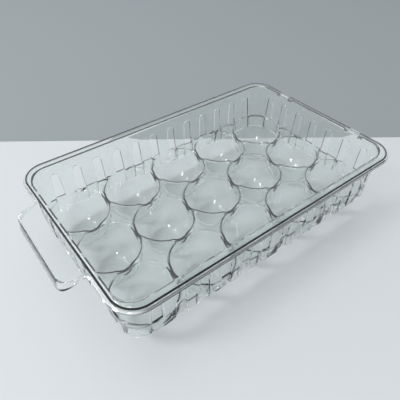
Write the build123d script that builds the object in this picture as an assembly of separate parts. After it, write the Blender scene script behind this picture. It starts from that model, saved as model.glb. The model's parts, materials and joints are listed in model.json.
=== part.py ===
from build123d import *
from build123d.topology import SkipClean
import math
import os

# Clear egg keeper: one moulded tray with a 5 x 3 field of hanging egg cups, slotted
# walls, a flat rim and a pull handle, and a lid that flips up about the far end.
# Origin: centre of the tray on the table.  +X runs away from the handle, +Z is up.
# All sizes in millimetres.

# --- egg cups -----------------------------------------------------------------
cup_pitch = 50.0
cup_columns = 5
cup_rows = 3
cup_row_names = ["egg_cups_near", "egg_cups_middle", "egg_cups_far"]
cup_mouth_r = 23.8          # inner radius at the mouth ring
cup_depth = 25.4            # mouth ring down to the inner floor
cup_side_r = 34.0           # radius of the inner side curve
cup_wall = 1.6
cup_floor_fillet = 5.0
lip_r = 3.0                 # rolled lip from the cup up to the deck

# --- saddles between neighbouring cups ------------------------------------------
saddle_top_w = 23.0
saddle_crest_w = 8.0
saddle_depth = 3.4
saddle_edge_slope = 0.06

# --- deck and walls --------------------------------------------------------------
deck_t = 1.6
wall_t = 1.4
wall_draft = 0.055          # run-out per millimetre of height
wall_corner_r = 16.0
wall_above_deck = 32.2      # deck top up to the rim top
wall_below_deck = 12.6      # deck top down to the open lower edge
cup_to_wall = 0.2           # mouth ring to the wall, at deck height

# --- vent slots and the flutes below them ----------------------------------------
slot_pitch = 19.2
slots_per_side = 12
slots_per_end = 7
slot_w_top = 7.0
slot_w_foot = 8.6
slot_above_deck = 0.3
slot_height = 23.0
flute_depth = 1.8
flute_t = 1.4
flute_side_t = 0.9

# --- rim and handle ---------------------------------------------------------------
rim_t = 1.3
rim_side_w = 6.85           # rim beyond the wall on the long sides
rim_end_w = 4.13            # rim beyond the wall on the short ends
rim_corner_r = 19.4
rim_edge_t = 1.5            # turned-down edge of the rim and handle
rim_edge_drop = 2.1         # its lower edge, below the rim top
rim_edge_flare = 1.2        # run-out of that edge over the height of the handle's lip
rim_edge_fillet = 1.3
wall_top_fillet = 2.0       # roll from the wall's inner face out onto the rim
handle_reach = 16.8         # beyond the rim
handle_w = 79.4
handle_corner_r = 9.0
handle_root_r = 5.0
handle_lip_h = 8.6
handle_lip_run = 15.0       # length over which the lip dies away towards the rim
handle_lip_mid_run = 0.36   # share of that length at the middle of its lower edge
handle_lip_mid_rise = 0.52  # share of the lip's height risen there

# --- lid -----------------------------------------------------------------------
lid_h = 2.5
lid_t = 1.6
lid_inset = 1.5             # rim edge to the foot of the lid
lid_edge_r = 2.4            # roll of the lid's edge down onto the rim

# --- hinge at the far end ---------------------------------------------------------
hinge_y = 42.0              # centre of each of the two hinge stations
hinge_barrel_r = 1.8
hinge_pin_r = 0.9
hinge_pin_clear = 0.05
hinge_pin_reach = 2.6       # stub pin beyond the lug
hinge_lug_w = 10.0
hinge_boss_w = 4.2
hinge_side_gap = 0.4
hinge_drop = 2.05           # pivot below the rim top
hinge_overhang = 0.35       # pivot beyond the foot of the lid
hinge_notch_gap = 0.45
hinge_rim_w = 2.2           # rim kept beyond the wall between the far corners
hinge_rim_span = 136.0

# --- levels -----------------------------------------------------------------------
z_ring = cup_depth + cup_wall
z_deck = z_ring + lip_r
z_rim = z_deck + wall_above_deck
z_wall_foot = z_deck - wall_below_deck
z_slot = z_deck + slot_above_deck
z_hinge = z_rim - hinge_drop
z_lid_top = z_rim + lid_h

# --- plan sizes ---------------------------------------------------------------------
deck_x = (cup_columns - 1) / 2 * cup_pitch + cup_mouth_r + cup_to_wall
deck_y = (cup_rows - 1) / 2 * cup_pitch + cup_mouth_r + cup_to_wall
rim_x = deck_x + wall_t + wall_draft * wall_above_deck + rim_end_w
rim_y = deck_y + wall_t + wall_draft * wall_above_deck + rim_side_w
lid_x = rim_x - lid_inset
lid_y = rim_y - lid_inset
lid_corner_r = rim_corner_r - lid_inset
hinge_x = lid_x + hinge_overhang
cup_xs = [(i - (cup_columns - 1) / 2) * cup_pitch for i in range(cup_columns)]
cup_ys = [(j - (cup_rows - 1) / 2) * cup_pitch for j in range(cup_rows)]
far = 400.0                 # reach of cutting blocks beyond the part


def rounded_rect(half_x, half_y, radius, z):
    """Face of a rounded rectangle at height z."""
    return Plane.XY.offset(z) * RectangleRounded(2 * half_x, 2 * half_y, radius)


def drafted_block(inset, radius, z0, z1):
    """Solid inside the wall's outer face, taken inwards by inset, from z0 to z1."""
    faces = []
    for z in (z0, z1):
        grow = wall_t - inset + wall_draft * (z - z_deck)
        faces.append(rounded_rect(deck_x + grow, deck_y + grow, radius, z))
    return loft(faces, ruled=True)


def block(x0, x1, y0, y1, z0, z1):
    return Pos((x0 + x1) / 2, (y0 + y1) / 2, (z0 + z1) / 2) * Box(x1 - x0, y1 - y0, z1 - z0)


def cup_profile(wall, top):
    """Half section of a cup from its axis; wall is the offset from the inner surface.

    The rim of the section ends in the lip's upper roll or in the collar under it.
    """
    r_mouth = cup_mouth_r + wall
    r_side = cup_side_r + wall
    z_floor = z_ring - cup_depth - wall
    r_floor = r_mouth - r_side + math.sqrt(r_side**2 - (z_ring - z_floor) ** 2)
    mid = math.asin((z_ring - z_floor) / r_side) / 2
    side_mid = (r_mouth - r_side + r_side * math.cos(mid), z_ring - r_side * math.sin(mid))
    floor = Line((0, z_floor), (r_floor, z_floor))
    side = ThreePointArc((r_floor, z_floor), side_mid, (r_mouth, z_ring))
    if top == "lip":
        rise = RadiusArc((r_mouth, z_ring), (r_mouth + lip_r, z_deck), lip_r)
        edge = rise + Line((r_mouth + lip_r, z_deck), (r_mouth + lip_r, z_deck + lip_r))
        z_top, r_top = z_deck + lip_r, r_mouth + lip_r
    else:
        turn = lip_r - wall
        rise = RadiusArc((r_mouth, z_ring), (r_mouth + turn, z_ring + turn), turn)
        edge = rise + Line((r_mouth + turn, z_ring + turn), (r_mouth + turn, z_deck))
        z_top, r_top = z_deck, r_mouth + turn
    close = Line((r_top, z_top), (0, z_top)) + Line((0, z_top), (0, z_floor))
    face = Plane.XZ * make_face(floor + side + edge + close)
    corner = [v for v in face.vertices() if abs(v.Z - z_floor) < 0.01 and v.X > 1]
    return fillet(corner, cup_floor_fillet + wall)


def cup_body(wall, top):
    return revolve(cup_profile(wall, top), Axis.Z)


def saddle_bar(length, grow, z_top):
    """Bar along X whose lower face dips as the saddle between two cups does."""
    z_edge, z_low = z_deck - grow, z_deck - grow - saddle_depth
    half_top, half_low = saddle_top_w / 2, saddle_crest_w / 2
    dip = Spline((-half_top, z_edge), (-half_low, z_low), (half_low, z_low), (half_top, z_edge),
                 tangents=((1, -saddle_edge_slope), (1, saddle_edge_slope)))
    top = Polyline((half_top, z_edge), (half_top, z_top), (-half_top, z_top), (-half_top, z_edge))
    return extrude(Plane.YZ * make_face(dip + top), length / 2, both=True)


def saddle_bars(grow, z_top):
    along = saddle_bar(cup_xs[-1] - cup_xs[0], grow, z_top)
    across = Rot(0, 0, 90) * saddle_bar(cup_ys[-1] - cup_ys[0], grow, z_top)
    bars = [Pos(0, y, 0) * along for y in cup_ys]
    return bars + [Pos(x, 0, 0) * across for x in cup_xs]


def slot_outline(z_low, z_high, widen):
    """Arched slot outline, straight sided below the arch, as a face in X and Z."""
    arch_r = slot_w_top / 2
    z_arch = z_slot + slot_height - arch_r
    slope = (slot_w_foot - slot_w_top) / 2 / (slot_height - arch_r)
    half_low = arch_r + slope * (z_arch - z_low) + widen
    z_cap = min(z_high, z_arch)
    half_cap = arch_r + slope * (z_arch - z_cap) + widen
    lines = Polyline((-half_cap, z_cap), (-half_low, z_low), (half_low, z_low), (half_cap, z_cap))
    if z_high > z_arch:
        lines += ThreePointArc((half_cap, z_cap), (0, z_arch + arch_r), (-half_cap, z_cap))
    else:
        lines += Line((half_cap, z_cap), (-half_cap, z_cap))
    return make_face(lines)


def wall_stations():
    """Places of the slots: turn about Z, distance of the wall and shift along it."""
    out = []
    for turn, reach, count in ((0, deck_y, slots_per_side), (90, deck_x, slots_per_end)):
        for flip in (0, 180):
            for k in range(count):
                out.append((turn + flip, reach, (k - (count - 1) / 2) * slot_pitch))
    return out


def at_wall(outline, turn, reach, shift, near, past):
    """Outline pushed through a wall, from near inside to past outside its inner face."""
    bar = extrude(Plane.XZ * outline, (past - near))
    return Rot(0, 0, turn) * Pos(shift, -(reach + near), 0) * bar


def make_walls():
    z_low, z_high = z_wall_foot, z_rim - rim_t / 2
    ring = drafted_block(0, wall_corner_r, z_low, z_high)
    ring -= drafted_block(wall_t, wall_corner_r - wall_t, z_low, z_high)
    plate = drafted_block(wall_t / 2, wall_corner_r - wall_t / 2, z_deck - deck_t, z_deck)
    solid = ring + plate
    floor = wall_t - flute_depth - wall_draft * wall_below_deck
    stations = wall_stations()
    backing = slot_outline(z_low, z_deck, flute_side_t)
    flute = slot_outline(z_low - deck_t, z_slot, 0)
    slot = slot_outline(z_slot, z_rim, 0)
    past = 2 * flute_depth + wall_t
    backs = [at_wall(backing, *s, floor - flute_t, floor + flute_t / 2) for s in stations]
    gaps = [at_wall(cut, *s, floor, past) for s in stations for cut in (flute, slot)]
    return solid.fuse(*backs).cut(*gaps)


def make_cups(solid):
    """Hang the cups and saddles from the deck and hollow them."""
    hull = drafted_block(0, wall_corner_r, 0, z_deck)
    inside = drafted_block(wall_t, wall_corner_r - wall_t, 0, z_rim)
    spots = [Pos(x, y, 0) for x in cup_xs for y in cup_ys]
    outer = cup_body(cup_wall, "flat")
    inner = cup_body(0, "lip")
    bodies = [p * outer for p in spots] + saddle_bars(cup_wall, z_deck)
    hollows = [p * inner for p in spots] + saddle_bars(0, z_deck + lip_r)
    mass = bodies[0].fuse(*bodies[1:]) & hull
    void = hollows[0].fuse(*hollows[1:]) & inside
    return solid.fuse(mass).cut(void)


def rim_outline(grow, z):
    """Face of the outline of rim and handle, taken outwards by grow, at height z."""
    x_side, y_side, half = rim_x + grow, rim_y + grow, handle_w / 2 + grow
    x_end = -(rim_x + handle_reach) - grow
    pts = [(x_side, -y_side), (x_side, y_side), (-x_side, y_side), (-x_side, half), (x_end, half),
           (x_end, -half), (-x_side, -half), (-x_side, -y_side)]
    corner, root, tip = rim_corner_r + grow, handle_root_r - grow, handle_corner_r + grow
    outline = FilletPolyline(*pts, radius=[corner] * 3 + [root, tip, tip, root, corner], close=True)
    return Plane.XY.offset(z) * make_face(outline)


def below_edge():
    """All below the rim's turned-down edge, which deepens to a lip around the handle."""
    z_foot, z_edge = z_rim - handle_lip_h, z_rim - rim_edge_drop
    x_deep = -(rim_x + handle_reach)
    x_thin = x_deep + handle_lip_run
    mid = (x_deep + handle_lip_mid_run * handle_lip_run,
           z_foot + handle_lip_mid_rise * (z_edge - z_foot))
    arch = ThreePointArc((x_deep, z_foot), mid, (x_thin, z_edge))
    rest = Polyline((x_thin, z_edge), (far, z_edge), (far, -far), (x_deep, -far), (x_deep, z_foot))
    return extrude(Plane.XZ * make_face(arch + rest), far, both=True)


def make_rim():
    z_foot, z_under = z_rim - handle_lip_h, z_rim - rim_t
    inner = rim_edge_flare - rim_edge_t
    solid = loft([rim_outline(rim_edge_flare, z_foot), rim_outline(0, z_rim)], ruled=True)
    core = loft([rim_outline(inner, z_foot), rim_outline(-rim_edge_t, z_rim)], ruled=True)
    solid = fillet(solid.faces().sort_by(Axis.Z)[-1].edges(), rim_edge_fillet)
    solid -= core & block(-far, far, -far, far, z_foot - far, z_under)
    solid -= below_edge()
    solid -= drafted_block(wall_t, wall_corner_r - wall_t, z_wall_foot, z_rim + rim_t)
    keep_x = rim_x - rim_end_w + hinge_rim_w
    half = hinge_rim_span / 2
    return solid - block(keep_x, far, -half, half, z_foot, z_rim + rim_t)


def roll_wall_top(solid):
    """Round the wall's inner face out onto the rim."""
    wall_x, wall_y = rim_x - rim_end_w, rim_y - rim_side_w
    inner = [e for e in solid.edges() if abs(e.center().Z - z_rim) < wall_t / 100
             and abs(e.center().X) < wall_x and abs(e.center().Y) < wall_y]
    return fillet(inner, wall_top_fillet)


def hinge_cylinder(radius, y0, y1):
    bar = Cylinder(radius, y1 - y0, rotation=(90, 0, 0))
    return Pos(hinge_x, (y0 + y1) / 2, z_hinge) * bar


def add_hinge_bosses(solid):
    """Bosses either side of each lid lug, bored for its stub pins."""
    x_wall = rim_x - rim_end_w - wall_t / 2
    z_low = z_hinge - hinge_barrel_r
    for side in (-1, 1):
        y0 = side * hinge_y - hinge_lug_w / 2 - hinge_side_gap
        y1 = side * hinge_y + hinge_lug_w / 2 + hinge_side_gap
        notch_x = lid_x - lid_t - hinge_notch_gap
        solid -= block(notch_x, far, y0, y1, z_low - far, z_rim + rim_t)
        for a, b in ((y0 - hinge_boss_w, y0), (y1, y1 + hinge_boss_w)):
            solid += block(x_wall, hinge_x - hinge_barrel_r / 2, a, b, z_low, z_rim - rim_t / 4)
            solid += hinge_cylinder(hinge_barrel_r, a, b)
    reach = hinge_lug_w / 2 + hinge_side_gap + hinge_boss_w
    for y in (-hinge_y, hinge_y):
        solid -= hinge_cylinder(hinge_pin_r + hinge_pin_clear, y - reach, y + reach)
    return solid


def make_tray():
    solid = make_walls()
    solid = make_cups(solid)
    solid = roll_wall_top(solid.fuse(make_rim()))
    return add_hinge_bosses(solid)


def strips(centres):
    """Start and end of each cup's own strip, the outer ones running past the part."""
    mids = [(a + b) / 2 for a, b in zip(centres, centres[1:])]
    return list(zip([-far] + mids, mids + [far]))


def split_walls(ring):
    """Part the ring of walls into two side walls, two end walls and the four corners."""
    past_slot = slot_w_foot / 2 + flute_side_t
    side = (slots_per_side - 1) / 2 * slot_pitch + past_slot
    end = (slots_per_end - 1) / 2 * slot_pitch + past_slot
    low, high = z_wall_foot - deck_t, z_rim + rim_t
    zones = {"side_wall_near": block(-side, side, -far, 0, low, high),
             "side_wall_far": block(-side, side, 0, far, low, high),
             "end_wall_handle": block(-far, 0, -end, end, low, high),
             "end_wall_hinge": block(0, far, -end, end, low, high)}
    pieces = {name: ring & zone for name, zone in zones.items()}
    corners = [ring & block(*x, *y, low, high) for x in ((-far, -side), (side, far))
               for y in ((-far, -end), (end, far))]
    return pieces | {"wall_corners": Compound([s for c in corners for s in c.solids()])}


def split_tray(tray):
    """Part the moulding face to face: walls, rim, handle and one tile for each egg cup."""
    above = z_rim + rim_t
    inside = drafted_block(wall_t, wall_corner_r - wall_t, z_wall_foot, above)
    inside += block(-far, far, -far, far, -cup_wall, z_wall_foot)
    in_wall = drafted_block(0, wall_corner_r, z_wall_foot, above)
    half = hinge_rim_span / 2 + hinge_rim_w
    in_wall += block(deck_x + wall_t, far, -half, half, z_wall_foot, above)
    beyond = block(-far, -(rim_x + rim_edge_flare), -far, far, 0, above)
    with SkipClean():
        floor, shell = tray & inside, tray - inside
        flange = shell - in_wall
        pieces = split_walls(shell & in_wall)
        pieces |= {"tray_rim": flange - beyond, "pull_handle": flange & beyond}
        for name, y in zip(cup_row_names, strips(cup_ys)):
            tiles = [floor & block(*x, *y, -cup_wall, above) for x in strips(cup_xs)]
            pieces[name] = Compound([s for tile in tiles for s in tile.solids()])
    return pieces


def rolled_plate(inset, height, edge_r):
    """Plate on the rim top, inset from the lid's outline, with its upper edge rolled over."""
    outline = rounded_rect(lid_x - inset, lid_y - inset, lid_corner_r - inset, z_rim)
    plate = extrude(outline, height)
    return fillet(plate.faces().sort_by(Axis.Z)[-1].edges(), edge_r)


def make_lid():
    shell = rolled_plate(0, lid_h, lid_edge_r) - rolled_plate(lid_t, lid_h - lid_t, lid_edge_r - lid_t)
    for side in (-1, 1):
        y0 = side * hinge_y - hinge_lug_w / 2
        y1 = side * hinge_y + hinge_lug_w / 2
        shell += block(lid_x - lid_t, lid_x, y0, y1, z_hinge, z_rim)
        shell += hinge_cylinder(hinge_barrel_r, y0, y1)
        shell += hinge_cylinder(hinge_pin_r, y0 - hinge_pin_reach, y1 + hinge_pin_reach)
    return shell


os.makedirs("parts", exist_ok=True)
for name, shape in (split_tray(make_tray()) | {"lid": make_lid()}).items():
    shape.label = name
    export_step(shape, f"parts/{name}.step")
    print(name, len(shape.solids()), "solids", round(shape.volume / 1000, 2), "cm3")
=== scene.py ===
import bpy
import bmesh
import json
import math
from mathutils import Matrix, Vector
from mathutils.bvhtree import BVHTree


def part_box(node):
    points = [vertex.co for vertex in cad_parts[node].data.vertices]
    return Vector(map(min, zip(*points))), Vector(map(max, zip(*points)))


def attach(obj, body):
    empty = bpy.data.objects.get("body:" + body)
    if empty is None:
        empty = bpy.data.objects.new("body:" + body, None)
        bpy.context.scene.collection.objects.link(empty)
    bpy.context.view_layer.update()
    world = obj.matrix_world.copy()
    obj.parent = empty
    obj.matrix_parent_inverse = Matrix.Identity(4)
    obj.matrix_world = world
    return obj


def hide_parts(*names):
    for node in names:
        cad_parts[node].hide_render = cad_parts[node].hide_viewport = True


# Clear egg keeper on a white table in front of a grey wall.  Lengths in metres, colours linear.
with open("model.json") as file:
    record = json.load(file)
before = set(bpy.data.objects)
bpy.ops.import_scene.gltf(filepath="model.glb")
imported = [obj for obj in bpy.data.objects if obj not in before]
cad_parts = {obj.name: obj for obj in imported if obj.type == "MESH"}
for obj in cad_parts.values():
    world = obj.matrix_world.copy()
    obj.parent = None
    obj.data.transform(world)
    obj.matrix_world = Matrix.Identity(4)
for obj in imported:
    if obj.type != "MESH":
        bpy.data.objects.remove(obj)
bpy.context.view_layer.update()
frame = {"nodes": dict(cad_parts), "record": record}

# --- plastic: colour of what passes through, light that passes to the table ------------
PLASTIC_TINT = (0.955, 0.980, 0.970, 1)
PLASTIC_IOR = 1.52
SHADE_FACE_ON = (0.965, 0.972, 0.970, 1)
SHADE_EDGE_ON = (0.12, 0.14, 0.14, 1)
TRAY_RIPPLE, TRAY_SMEAR = 0.20, 0.05
LID_RIPPLE, LID_SMEAR = 0.05, 0.03

# --- table and backdrop -----------------------------------------------------------------
FLOOR_TINT = (0.648, 0.668, 0.690, 1)
BACKDROP_TINT = (0.298, 0.333, 0.344, 1)
TABLE_END = 0.3925          # from below the camera to the table's far edge
TABLE_SKEW = 0.022          # run-out of that edge per metre to the right
TABLE_REACH = 3.0
TABLE_Z = -0.0002
BACKDROP_REACH = 4.0
BACKDROP_Z = -0.012

# --- camera -----------------------------------------------------------------------------
AZ, EL, ROLL = math.radians(-37.728), math.radians(42.213), math.radians(0.067)
EYE = Vector((-0.17071, -0.20361, 0.26224))
FOCAL_PX = 407.896
PIXELS = 400
SENSOR_MM = 36.0

# --- lamps: place, side lengths, watts; all aim at the middle of the tray ---------------
LAMPS = {
    "ceiling": ((-0.35, 0.75, 1.25), (0.5, 0.9), 2),
    "lamp_left": ((-1.98, 0.69, 2.13), (0.62, 0.62), 33),
    "lamp_behind": ((-1.94, -1.29, 1.90), (0.50, 0.50), 22),
}

# --- room light -------------------------------------------------------------------------
ROOM_LOW = (0.42, 0.44, 0.45, 1)
ROOM_HIGH = (0.80, 0.82, 0.84, 1)
ROOM_HIGH_AT = 0.75         # height of the unit direction where the upper colour is full
DIM_WAY = (0.40, -0.60, 0.69)
DIM_FROM, DIM_FULL = 0.65, 0.97
DIM_LEVEL = 0.25


def shown(obj):
    bpy.context.scene.collection.objects.link(obj)
    return obj


# ---------------------------------------------------------------- tray skin
def bm_of(obj):
    bm = bmesh.new()
    bm.from_mesh(obj.data)
    bmesh.ops.remove_doubles(bm, verts=bm.verts, dist=1e-6)
    bm.normal_update()
    return bm


def inside(tree, point, way):
    """True if the first face met from point along way is met from behind."""
    hit, normal, _, _ = tree.ray_cast(point, way)
    return hit is not None and normal.dot(way) > 0


def in_box(point, box, margin):
    low, high = box
    return all(low[i] - margin <= point[i] <= high[i] + margin for i in range(3))


def may_meet_own(node, face, flat=0.9999):
    """The cups of one row are solids of one node, and they meet across X."""
    return node.startswith("egg_cups") and abs(face.normal.x) > flat


def is_buried(face, solids, tilt):
    """True if a solid lies straight in front of the face; solids are (tree, box, probe)."""
    centre = face.calc_center_median()
    way = (face.normal + tilt).normalized()
    for tree, box, probe in solids:
        spot = centre + face.normal * probe
        if in_box(spot, box, probe) and inside(tree, spot, way):
            return True
    return False


def moulded_skin(name, nodes, probe=1.5e-4, own_probe=5e-5, tilt=Vector((0.013, 0.021, 0.017)),
                 crease_deg=28, weld=1e-5):
    """One skin for a moulding whose solids meet face to face: the faces where they meet go."""
    parts = {n: bm_of(frame["nodes"][n]) for n in nodes}
    trees = {n: BVHTree.FromBMesh(bm) for n, bm in parts.items()}
    skin = bmesh.new()
    for n, bm in parts.items():
        others = [(tree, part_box(other), probe) for other, tree in trees.items() if other != n]
        own = [(trees[n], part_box(n), own_probe)]
        buried = [face for face in bm.faces if is_buried(face, others, tilt)
                  or may_meet_own(n, face) and is_buried(face, own, tilt)]
        bmesh.ops.delete(bm, geom=buried, context="FACES")
        part = bpy.data.meshes.new(n)
        bm.to_mesh(part)
        skin.from_mesh(part)
        bpy.data.meshes.remove(part)
        bm.free()
    bmesh.ops.remove_doubles(skin, verts=skin.verts, dist=weld)
    lone = [face for face in skin.faces if all(len(e.link_faces) == 1 for e in face.edges)]
    bmesh.ops.delete(skin, geom=lone, context="FACES")
    for edge in skin.edges:
        sharp = len(edge.link_faces) != 2 or edge.calc_face_angle(0) > math.radians(crease_deg)
        edge.smooth = not sharp
    for face in skin.faces:
        face.smooth = True
    mesh = bpy.data.meshes.new(name)
    skin.to_mesh(mesh)
    skin.free()
    obj = shown(bpy.data.objects.new(name, mesh))
    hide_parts(*nodes)
    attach(obj, "tray")
    return obj


# ---------------------------------------------------------------- materials
def new_node(tree, kind, **values):
    """A node of that kind; a value named for an input sets it, with spaces for underscores."""
    node = tree.nodes.new("ShaderNode" + kind)
    for name, value in values.items():
        node.inputs[name.replace("_", " ")].default_value = value
    return node


def two_colours(tree, low, low_at, high, high_at):
    node = new_node(tree, "ValToRGB")
    for stop, colour, place in zip(node.color_ramp.elements, (low, high), (low_at, high_at)):
        stop.position = place
        stop.color = colour
    return node


def flow_ripple(nt, coord, strength):
    """Normal of a polished face with the slow waves that a moulding cools with."""
    flow = new_node(nt, "TexNoise", Scale=22.0, Detail=2.0)
    bump = new_node(nt, "Bump", Strength=strength, Distance=0.0008)
    nt.links.new(coord.outputs["Object"], flow.inputs["Vector"])
    nt.links.new(flow.outputs["Fac"], bump.inputs["Height"])
    return bump.outputs["Normal"]


def handling_haze(nt, coord, smear):
    """Roughness that comes and goes over the face, up to smear."""
    haze = new_node(nt, "TexNoise", Scale=60.0, Detail=5.0)
    rough = new_node(nt, "MapRange", From_Min=0.35, From_Max=0.75, To_Min=0.0, To_Max=smear)
    nt.links.new(coord.outputs["Object"], haze.inputs["Vector"])
    nt.links.new(haze.outputs["Fac"], rough.inputs["Value"])
    return rough.outputs["Result"]


def light_through(nt):
    """What lets light on to the table, less of it where the wall is met edge on."""
    facing = new_node(nt, "LayerWeight", Blend=0.25)
    shade = two_colours(nt, SHADE_FACE_ON, 0.15, SHADE_EDGE_ON, 0.85)
    through = new_node(nt, "BsdfTransparent")
    nt.links.new(facing.outputs["Facing"], shade.inputs["Fac"])
    nt.links.new(shade.outputs["Color"], through.inputs["Color"])
    return through.outputs["BSDF"]


def clear_plastic(name, ripple, smear):
    """Polished clear moulding with faint flow ripple and a little surface haze."""
    mat = bpy.data.materials.new(name)
    mat.use_nodes = True
    nt = mat.node_tree
    nt.nodes.clear()
    link = nt.links.new
    out = new_node(nt, "OutputMaterial")
    body = new_node(nt, "BsdfPrincipled", Base_Color=PLASTIC_TINT, Transmission_Weight=1.0,
                    IOR=PLASTIC_IOR)
    coord = new_node(nt, "TexCoord")
    link(flow_ripple(nt, coord, ripple), body.inputs["Normal"])
    link(handling_haze(nt, coord, smear), body.inputs["Roughness"])
    # shadow and diffuse rays go straight through, so that the table isn't lit twice
    path = new_node(nt, "LightPath")
    onward = new_node(nt, "Math")
    onward.operation = "MAXIMUM"
    link(path.outputs["Is Shadow Ray"], onward.inputs[0])
    link(path.outputs["Is Diffuse Ray"], onward.inputs[1])
    mix = new_node(nt, "MixShader")
    link(onward.outputs["Value"], mix.inputs["Fac"])
    link(body.outputs["BSDF"], mix.inputs[1])
    link(light_through(nt), mix.inputs[2])
    link(mix.outputs["Shader"], out.inputs["Surface"])
    return mat


def matt_card(name, colour, grain):
    """Matt paint whose colour drifts slowly between colour and colour times grain."""
    mat = bpy.data.materials.new(name)
    mat.use_nodes = True
    nt = mat.node_tree
    body = nt.nodes["Principled BSDF"]
    body.inputs["Roughness"].default_value = 0.55
    noise = new_node(nt, "TexNoise", Scale=3.0)
    mix = new_node(nt, "Mix")
    mix.data_type = "RGBA"
    mix.inputs["A"].default_value = colour
    mix.inputs["B"].default_value = tuple(c * grain for c in colour[:3]) + (1,)
    nt.links.new(noise.outputs["Fac"], mix.inputs["Factor"])
    nt.links.new(mix.outputs["Result"], body.inputs["Base Color"])
    return mat


def dress(obj, mat):
    obj.data.materials.clear()
    obj.data.materials.append(mat)


tray = moulded_skin("tray_moulding", frame["record"]["behaviour"]["bodies"]["tray"])
dress(tray, clear_plastic("tray_plastic_clear", TRAY_RIPPLE, TRAY_SMEAR))
lid_plastic = clear_plastic("lid_plastic_clear", LID_RIPPLE, LID_SMEAR)
for lid_slot in frame["nodes"]["lid"].material_slots:
    lid_slot.material = lid_plastic

# ---------------------------------------------------------------- camera
back = Vector((math.sin(AZ) * math.cos(EL), -math.cos(AZ) * math.cos(EL), math.sin(EL)))
right = Vector((math.cos(AZ), math.sin(AZ), 0))
up = back.cross(right)
turn = Matrix((right, up, back)).transposed() @ Matrix.Rotation(ROLL, 3, "Z")
cam_data = bpy.data.cameras.new("camera")
cam_data.sensor_width = SENSOR_MM
cam_data.lens = FOCAL_PX / PIXELS * SENSOR_MM
cam_data.clip_start = 0.01
cam = shown(bpy.data.objects.new("camera", cam_data))
cam.matrix_world = Matrix.Translation(EYE) @ turn.to_4x4()
bpy.context.scene.camera = cam

# ---------------------------------------------------------------- table and backdrop
forward = Vector((-back.x, -back.y, 0)).normalized()
side = Vector((forward.y, -forward.x, 0))


def card(name, reach, far, z, mat):
    """Level card below the camera: reach to each side and behind it, far in front of it."""
    base = Vector((EYE.x, EYE.y, z))
    corners = ((-reach, -reach), (reach, -reach), (reach, far), (-reach, far))
    pts = [base + side * x + forward * (y + TABLE_SKEW * x) for x, y in corners]
    mesh = bpy.data.meshes.new(name)
    mesh.from_pydata([tuple(p) for p in pts], [], [(0, 1, 2, 3)])
    obj = shown(bpy.data.objects.new(name, mesh))
    dress(obj, mat)
    return obj


card("table", TABLE_REACH, TABLE_END, TABLE_Z, matt_card("table_white", FLOOR_TINT, 0.99))
card("backdrop", BACKDROP_REACH, BACKDROP_REACH, BACKDROP_Z,
     matt_card("backdrop_grey", BACKDROP_TINT, 0.97))


# ---------------------------------------------------------------- light
def area_light(name, spot, sides, watts):
    """Rectangular lamp at spot that aims at the origin."""
    data = bpy.data.lights.new(name, "AREA")
    data.shape = "RECTANGLE"
    data.size, data.size_y = sides
    data.energy = watts
    obj = shown(bpy.data.objects.new(name, data))
    aim = (-Vector(spot)).to_track_quat("-Z", "Y")
    obj.matrix_world = Matrix.Translation(spot) @ aim.to_matrix().to_4x4()
    return obj


def room_light():
    """Even light from all round, greyer low down and dimmer towards DIM_WAY."""
    world = bpy.data.worlds.new("room")
    bpy.context.scene.world = world
    world.use_nodes = True
    nt = world.node_tree
    link = nt.links.new
    background = nt.nodes["Background"]
    coord = new_node(nt, "TexCoord")
    split = new_node(nt, "SeparateXYZ")
    colours = two_colours(nt, ROOM_LOW, 0.0, ROOM_HIGH, ROOM_HIGH_AT)
    link(coord.outputs["Generated"], split.inputs["Vector"])
    link(split.outputs["Z"], colours.inputs["Fac"])
    link(colours.outputs["Color"], background.inputs["Color"])
    along = new_node(nt, "VectorMath")
    along.operation = "DOT_PRODUCT"
    along.inputs[1].default_value = DIM_WAY
    dim = new_node(nt, "MapRange", From_Min=DIM_FROM, From_Max=DIM_FULL, To_Min=1.0,
                   To_Max=DIM_LEVEL)
    dim.interpolation_type = "SMOOTHSTEP"
    link(coord.outputs["Generated"], along.inputs[0])
    link(along.outputs["Value"], dim.inputs["Value"])
    link(dim.outputs["Result"], background.inputs["Strength"])


for lamp, (spot, sides, watts) in LAMPS.items():
    area_light(lamp, spot, sides, watts)
room_light()
bpy.context.scene.view_settings.view_transform = "Standard"
